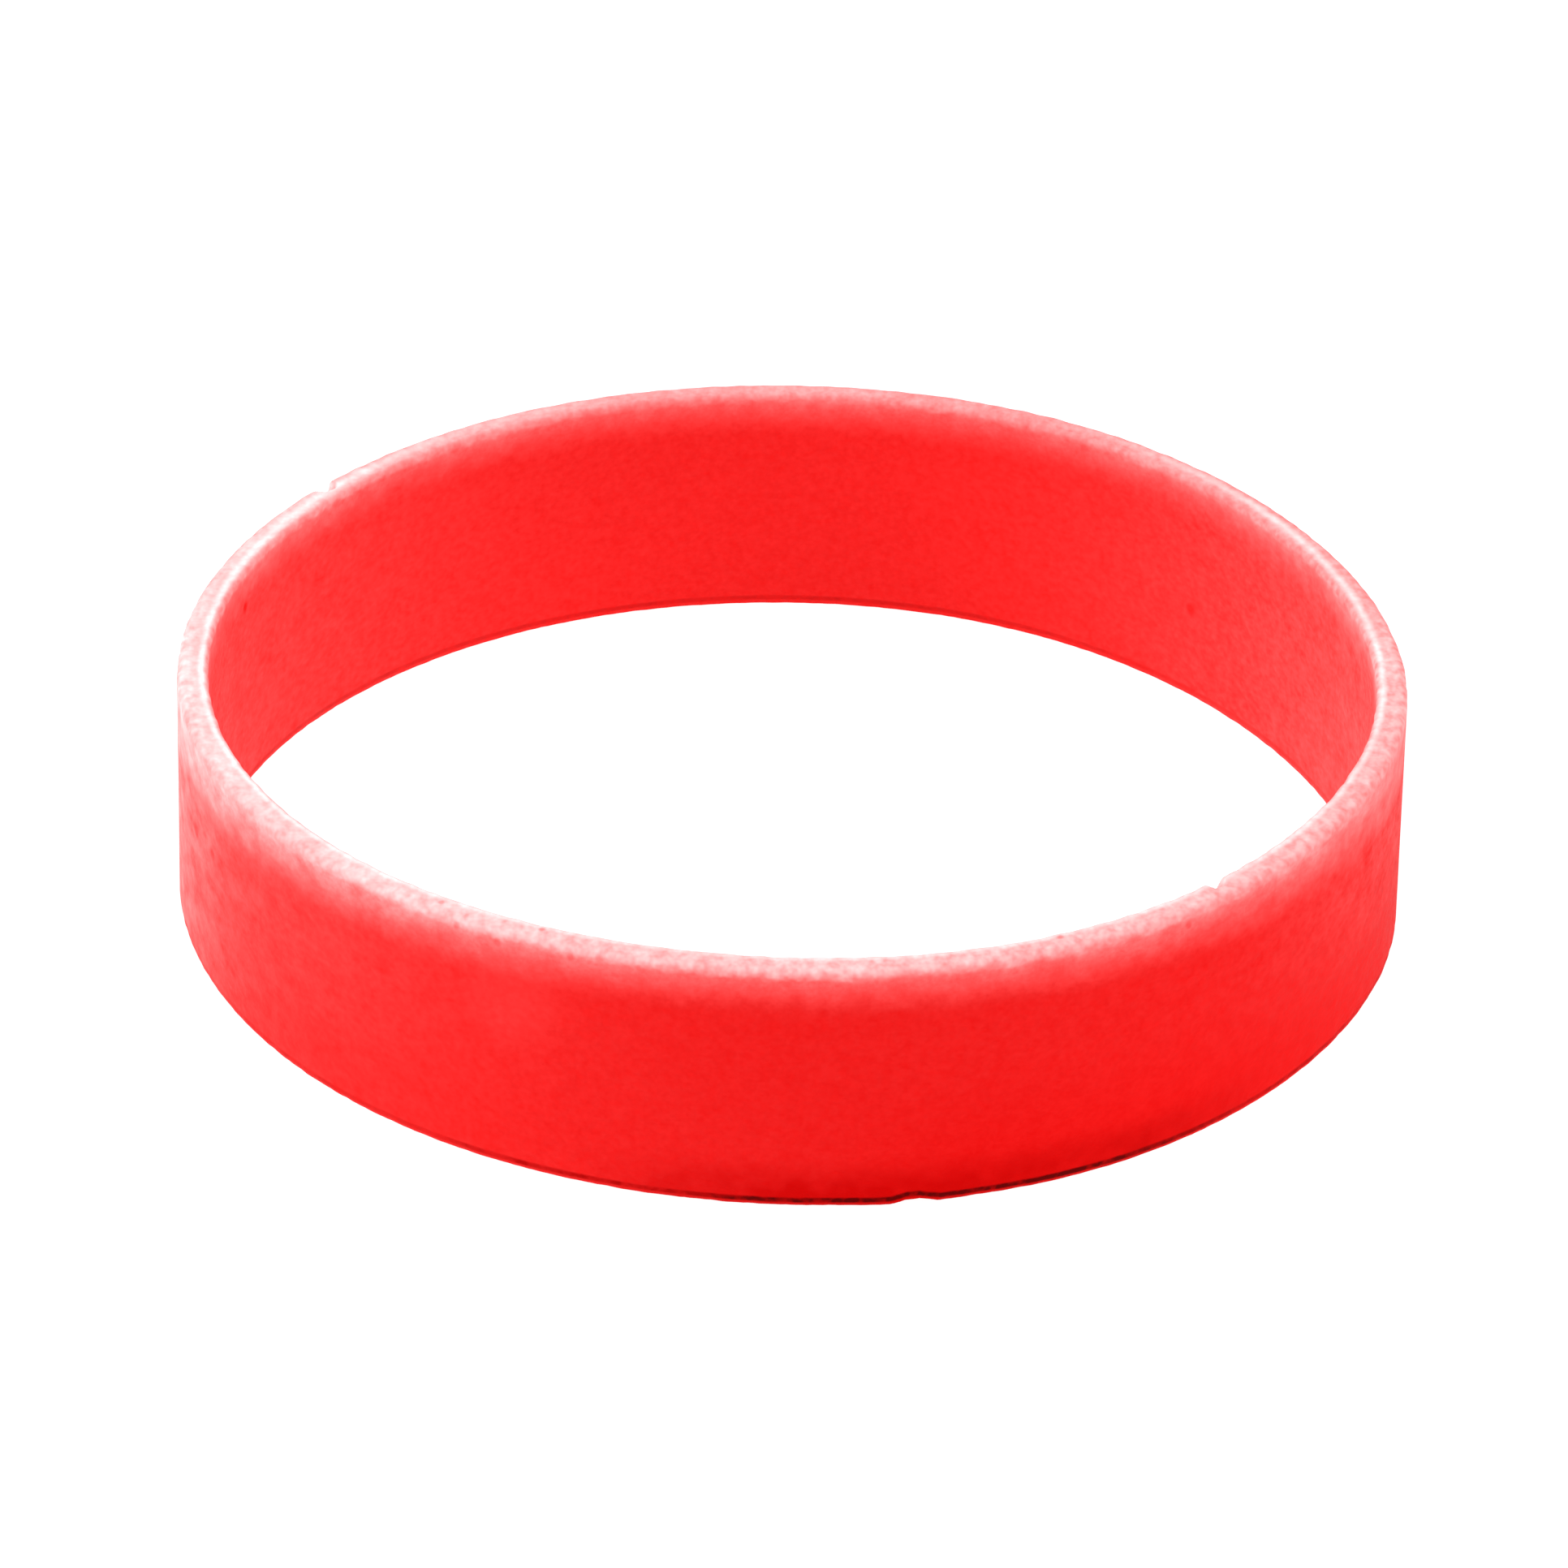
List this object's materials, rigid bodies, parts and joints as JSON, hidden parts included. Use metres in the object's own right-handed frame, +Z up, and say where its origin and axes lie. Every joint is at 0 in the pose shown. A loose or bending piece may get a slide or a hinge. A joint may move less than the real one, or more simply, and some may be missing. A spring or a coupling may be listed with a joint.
{
  "type": "silicone wristband",
  "caption": "Plain moulded silicone wristband: a closed flat-walled loop of matte rubber with rounded edges, open through the middle for a wrist.",
  "frame": {"origin": "centre of the loop, on the surface that the band's lower rim rests on", "axes": "+Z up through the loop, from the lower rim to the upper one; X and Y across the loop, which is the same all round"},
  "size_m": [0.0602, 0.0602, 0.0127],
  "materials": {
    "silicone": "matte"
  },
  "bodies": {
    "root": {"band": "silicone"}
  },
  "joints": []
}
